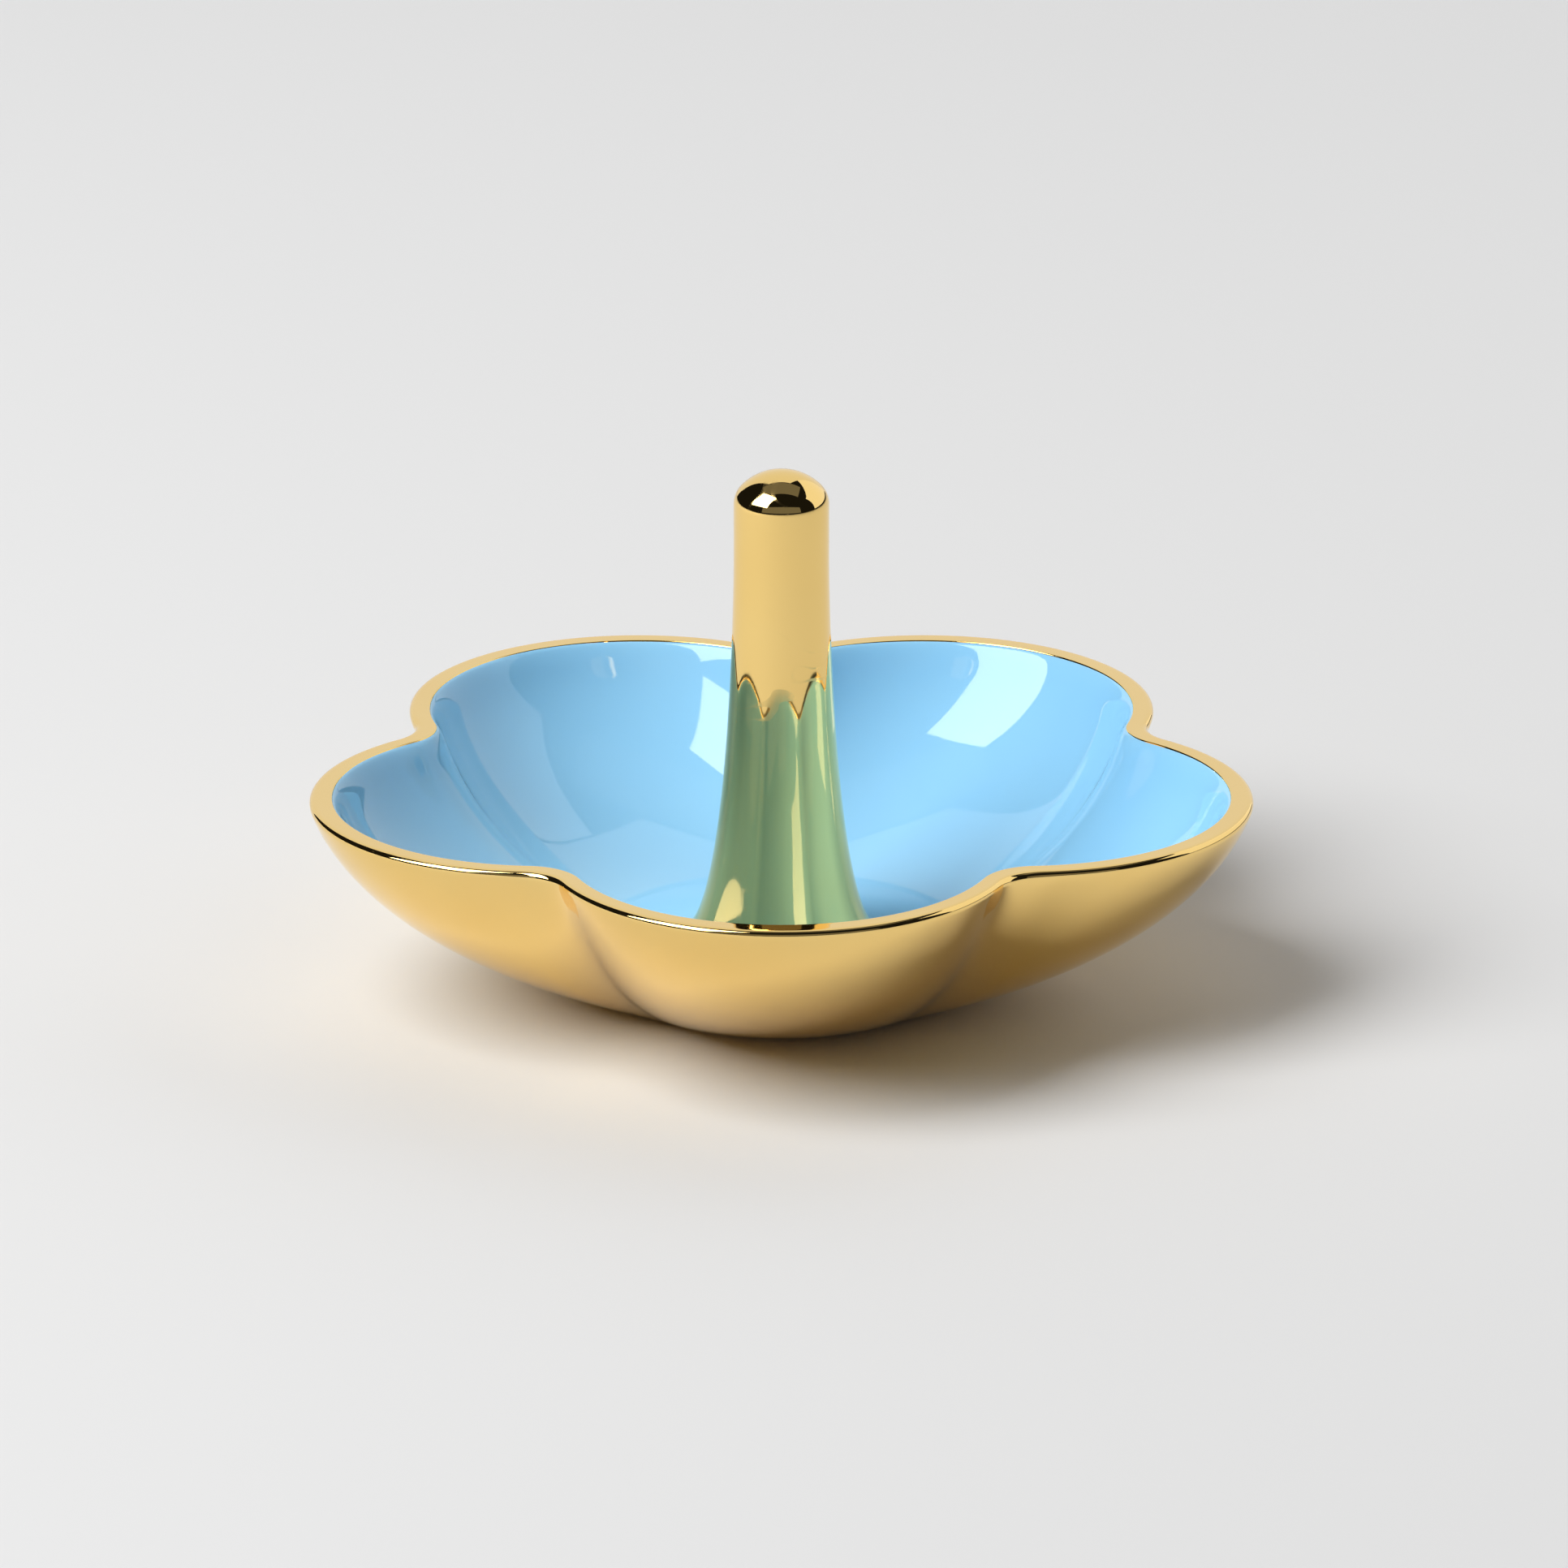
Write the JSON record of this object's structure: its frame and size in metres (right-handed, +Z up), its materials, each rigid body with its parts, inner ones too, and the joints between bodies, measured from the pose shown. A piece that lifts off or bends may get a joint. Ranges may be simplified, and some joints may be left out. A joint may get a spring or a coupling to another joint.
{
  "type": "ring dish",
  "caption": "Petal-shaped polished metal dish with an enamel-lined bowl and a central flared post that holds finger rings.",
  "frame": {"origin": "on the axis of the ring post, on the underside of the base pad, where the dish meets the table", "axes": "+Z up along the ring post; -Y towards the front petal; +X to the right of someone facing it"},
  "size_m": [0.1072, 0.1045, 0.0605],
  "materials": {
    "gold_plate": "mirror polish",
    "blue_enamel": "high gloss",
    "screw_steel": "plain zinc",
    "felt": "matt felt"
  },
  "bodies": {
    "root": {"dish_shell": "gold_plate", "enamel_lining": "blue_enamel", "ring_post": "gold_plate", "post_screw": "screw_steel", "base_pad": "felt"}
  },
  "joints": []
}
